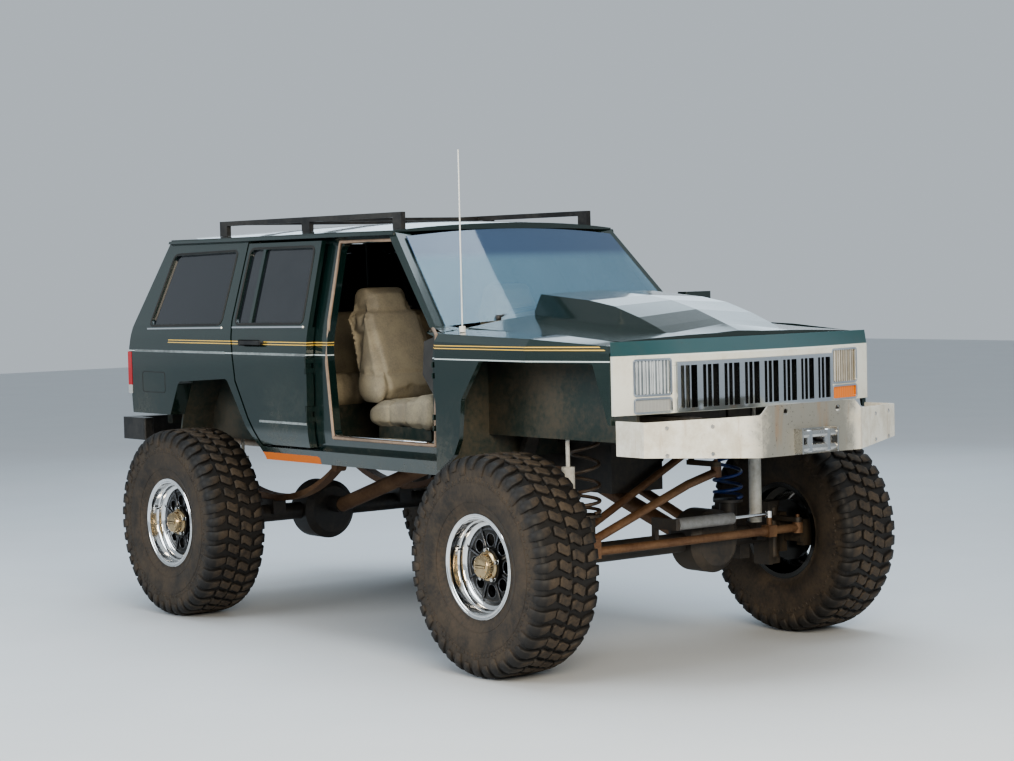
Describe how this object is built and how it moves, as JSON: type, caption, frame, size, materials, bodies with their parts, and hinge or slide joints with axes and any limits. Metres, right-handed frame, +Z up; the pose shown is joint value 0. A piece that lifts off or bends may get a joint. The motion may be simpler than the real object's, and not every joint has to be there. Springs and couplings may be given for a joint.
{
  "type": "lifted off-road 4x4 car",
  "caption": "Lifted off-road estate car on tall mud tyres that rolls and steers, with hinged doors, hood and liftgate and the right front door taken off.",
  "frame": {"origin": "on the ground, on the centre plane, midway between the fairlead's face and the rear bumper's rear face", "axes": "+X forward, +Y to the vehicle's left, +Z up"},
  "size_m": [4.401, 2.082, 2.232],
  "materials": {
    "body_paint": "glossy green enamel with dust",
    "inner_paint": "satin, dusty",
    "window_glass": "tinted",
    "frame_paint": "satin black, muddy",
    "axle_iron": "dark and dusty",
    "knuckle_iron": "dark and dusty",
    "link_steel": "surface rust",
    "coil_steel": "blue paint",
    "shock_paint": "white paint",
    "damper_paint": "grey paint",
    "bright_rod": "polished",
    "engine_iron": "oily",
    "radiator_core": "dark fins",
    "exhaust_steel": "heat stained",
    "bumper_steel": "cream paint, scuffed",
    "bumper_black": "satin black",
    "antenna_white": "matte",
    "chrome_trim": "bright",
    "lamp_lens": "moulded lens",
    "dash_plastic": "grained",
    "seat_cloth": "worn woven cloth",
    "wheel_alloy": "polished lip, dark centre",
    "tyre_rubber": "dusty black"
  },
  "bodies": {
    "root": {"body_sides": "body_paint", "roof_panel": "body_paint", "fenders": "body_paint", "header_panel": "body_paint", "floor_pan": "inner_paint", "wheelhouse_left": "inner_paint", "wheelhouse_right": "inner_paint", "cowl_panel": "inner_paint", "inner_fenders": "inner_paint", "fixed_glass": "window_glass", "frame_rails": "frame_paint", "steering_gear": "frame_paint", "fuel_tank": "frame_paint", "front_axle": "axle_iron", "rear_axle": "axle_iron", "suspension_arms": "link_steel", "driveshafts": "link_steel", "leaf_springs": "link_steel", "coil_springs": "coil_steel", "shock_absorbers": "shock_paint", "damper_body": "damper_paint", "engine": "engine_iron", "radiator": "radiator_core", "exhaust": "exhaust_steel", "front_bumper": "bumper_steel", "fairlead": "bumper_steel", "rear_bumper": "bumper_black", "roof_rack": "bumper_black", "antenna": "antenna_white", "grille": "chrome_trim", "lamps": "lamp_lens", "dashboard": "dash_plastic", "seats": "seat_cloth"},
    "knuckle_right": {"knuckle_right": "knuckle_iron"},
    "knuckle_left": {"knuckle_left": "knuckle_iron"},
    "tie_rod": {"tie_rod": "link_steel", "drag_link": "link_steel"},
    "pitman_arm": {"pitman_arm": "link_steel"},
    "damper_rod": {"damper_rod": "bright_rod"},
    "hood": {"hood": "body_paint"},
    "liftgate": {"liftgate": "body_paint", "liftgate_glass": "window_glass"},
    "door_front_left": {"door_front_left": "body_paint", "door_front_glass_left": "window_glass"},
    "door_rear_left": {"door_rear_left": "body_paint", "door_rear_glass_left": "window_glass"},
    "door_rear_right": {"door_rear_right": "body_paint", "door_rear_glass_right": "window_glass"},
    "wheel_front_left": {"tyre_front_left": "tyre_rubber", "rim_front_left": "wheel_alloy"},
    "wheel_front_right": {"tyre_front_right": "tyre_rubber", "rim_front_right": "wheel_alloy"},
    "wheel_rear_left": {"tyre_rear_left": "tyre_rubber", "rim_rear_left": "wheel_alloy"},
    "wheel_rear_right": {"tyre_rear_right": "tyre_rubber", "rim_rear_right": "wheel_alloy"}
  },
  "joints": [
    {"name": "steer_right", "type": "hinge", "parent": "root", "child": "knuckle_right", "pos_m": [1.1925, -0.7, 0.47], "axis": [0, 0, 1], "range_deg": [-28, 28]},
    {"name": "steer_left", "type": "hinge", "parent": "root", "child": "knuckle_left", "pos_m": [1.1925, 0.7, 0.47], "axis": [0, 0, 1], "range_deg": [-28, 28]},
    {"name": "tie_rod_swing", "type": "hinge", "parent": "knuckle_right", "child": "tie_rod", "pos_m": [1.3545, -0.7, 0.5], "axis": [0, 0, 1], "range_deg": [-28, 28]},
    {"name": "pitman_swing", "type": "hinge", "parent": "root", "child": "pitman_arm", "pos_m": [1.1925, 0.2, 0.825], "axis": [0, 0, 1], "range_deg": [-28, 28]},
    {"name": "damper_slide", "type": "slide", "parent": "root", "child": "damper_rod", "axis": [0, 1, 0], "range_m": [-0.0765, 0.0765]},
    {"name": "hood_lift", "type": "hinge", "parent": "root", "child": "hood", "pos_m": [0.7665, 0, 1.479], "axis": [0, -1, 0], "range_deg": [0, 55]},
    {"name": "liftgate_lift", "type": "hinge", "parent": "root", "child": "liftgate", "pos_m": [-1.8907, 0, 1.86], "axis": [0, 1, 0], "range_deg": [0, 85]},
    {"name": "door_front_left_swing", "type": "hinge", "parent": "root", "child": "door_front_left", "pos_m": [0.6995, 0.864, 1.1], "axis": [0, 0, -1], "range_deg": [0, 65]},
    {"name": "door_rear_left_swing", "type": "hinge", "parent": "root", "child": "door_rear_left", "pos_m": [-0.3155, 0.864, 1.1], "axis": [0, 0, -1], "range_deg": [0, 65]},
    {"name": "door_rear_right_swing", "type": "hinge", "parent": "root", "child": "door_rear_right", "pos_m": [-0.3155, -0.864, 1.1], "axis": [0, 0, 1], "range_deg": [0, 65]},
    {"name": "wheel_front_left_spin", "type": "hinge", "parent": "knuckle_left", "child": "wheel_front_left", "pos_m": [1.1925, 0.88, 0.47], "axis": [0, 1, 0], "continuous": true},
    {"name": "wheel_front_right_spin", "type": "hinge", "parent": "knuckle_right", "child": "wheel_front_right", "pos_m": [1.1925, -0.88, 0.47], "axis": [0, 1, 0], "continuous": true},
    {"name": "wheel_rear_left_spin", "type": "hinge", "parent": "root", "child": "wheel_rear_left", "pos_m": [-1.3835, 0.88, 0.47], "axis": [0, 1, 0], "continuous": true},
    {"name": "wheel_rear_right_spin", "type": "hinge", "parent": "root", "child": "wheel_rear_right", "pos_m": [-1.3835, -0.88, 0.47], "axis": [0, 1, 0], "continuous": true}
  ],
  "couplings": [
    {"joint": "steer_left", "follows": "steer_right", "ratio": 1},
    {"joint": "tie_rod_swing", "follows": "steer_right", "ratio": -1},
    {"joint": "pitman_swing", "follows": "steer_right", "ratio": 1},
    {"joint": "damper_slide", "follows": "steer_right", "m_per_rad": 0.156}
  ]
}
